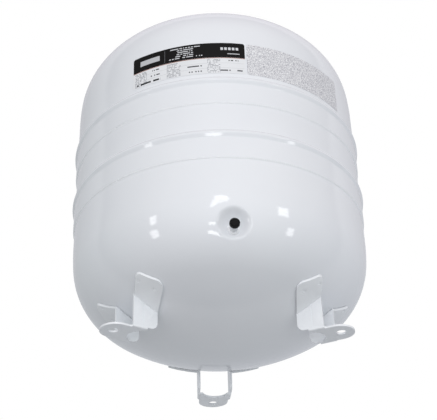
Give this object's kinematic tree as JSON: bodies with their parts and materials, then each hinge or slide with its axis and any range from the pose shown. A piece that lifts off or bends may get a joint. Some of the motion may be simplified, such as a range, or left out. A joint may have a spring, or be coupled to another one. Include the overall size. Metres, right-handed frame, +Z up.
{
  "type": "expansion vessel",
  "caption": "Standing diaphragm expansion vessel: white enamelled steel shells with beaded seams, a gas valve in a front pocket, bent sheet feet and a threaded connection on top.",
  "frame": {"origin": "on the vessel's axis, at the floor under the feet", "axes": "+Z up along the vessel's axis; the gas valve faces -Y; the two front feet are 60 degrees either side of it and the third is at +Y"},
  "size_m": [0.407, 0.407, 0.5193],
  "materials": {
    "white_enamel": "high gloss stoved white enamel",
    "painted_weld": "white enamel over a weld bead, slightly rippled",
    "zinc_plated_steel": "machined, zinc plated",
    "butyl_rubber": "moulded, matt",
    "raw_steel": "mill finish",
    "painted_stub": "gloss white enamel over a turned sleeve",
    "brass": "turned",
    "black_seal": "moulded, matt",
    "spring_steel": "drawn wire",
    "black_plastic": "moulded, satin",
    "foot_enamel": "gloss white enamel on bent sheet",
    "printed_label": "printed film",
    "grained_panel": "light grey grained film"
  },
  "bodies": {
    "root": {"upper_shell": "white_enamel", "middle_band": "white_enamel", "lower_shell": "white_enamel", "upper_seam_weld": "painted_weld", "lower_seam_weld": "painted_weld", "water_connection": "zinc_plated_steel", "connection_weld": "painted_weld", "diaphragm_rim": "butyl_rubber", "diaphragm_wall": "butyl_rubber", "diaphragm_clamp_ring": "raw_steel", "valve_stub": "painted_stub", "valve_stub_weld": "painted_weld", "valve_stem": "brass", "valve_core_gasket": "black_seal", "valve_core_body": "brass", "valve_core_spring": "spring_steel", "foot_left": "foot_enamel", "foot_right": "foot_enamel", "foot_rear": "foot_enamel", "foot_weld_nuggets": "raw_steel", "data_label": "printed_label", "grained_panel": "grained_panel"},
    "diaphragm_crown": {"diaphragm_crown": "butyl_rubber"},
    "core_pin": {"valve_core_pin": "brass", "valve_core_seal": "black_seal"},
    "cap_washer": {"valve_cap_seal": "black_seal"},
    "cap": {"valve_cap": "black_plastic"}
  },
  "joints": [
    {"name": "diaphragm_travel", "type": "slide", "parent": "root", "child": "diaphragm_crown", "axis": [0, 0, -1], "range_m": [0, 0.3], "stiffness_N_per_m": 10, "springref_m": -0.1, "deforming": ["diaphragm_wall"]},
    {"name": "core_pin_press", "type": "slide", "parent": "root", "child": "core_pin", "axis": [0, 1, 0], "range_m": [0, 0.0012], "stiffness_N_per_m": 1500, "springref_m": -0.002, "deforming": ["valve_core_spring"]},
    {"name": "cap_travel", "type": "slide", "parent": "root", "child": "cap_washer", "axis": [0, -1, 0], "range_m": [0, 0.0048]},
    {"name": "cap_turn", "type": "hinge", "parent": "cap_washer", "child": "cap", "pos_m": [0, -0.195, 0.087], "axis": [0, -1, 0], "range_deg": [0, 2160]}
  ],
  "couplings": [
    {"joint": "cap_turn", "follows": "cap_travel", "rad_per_m": 7854}
  ]
}
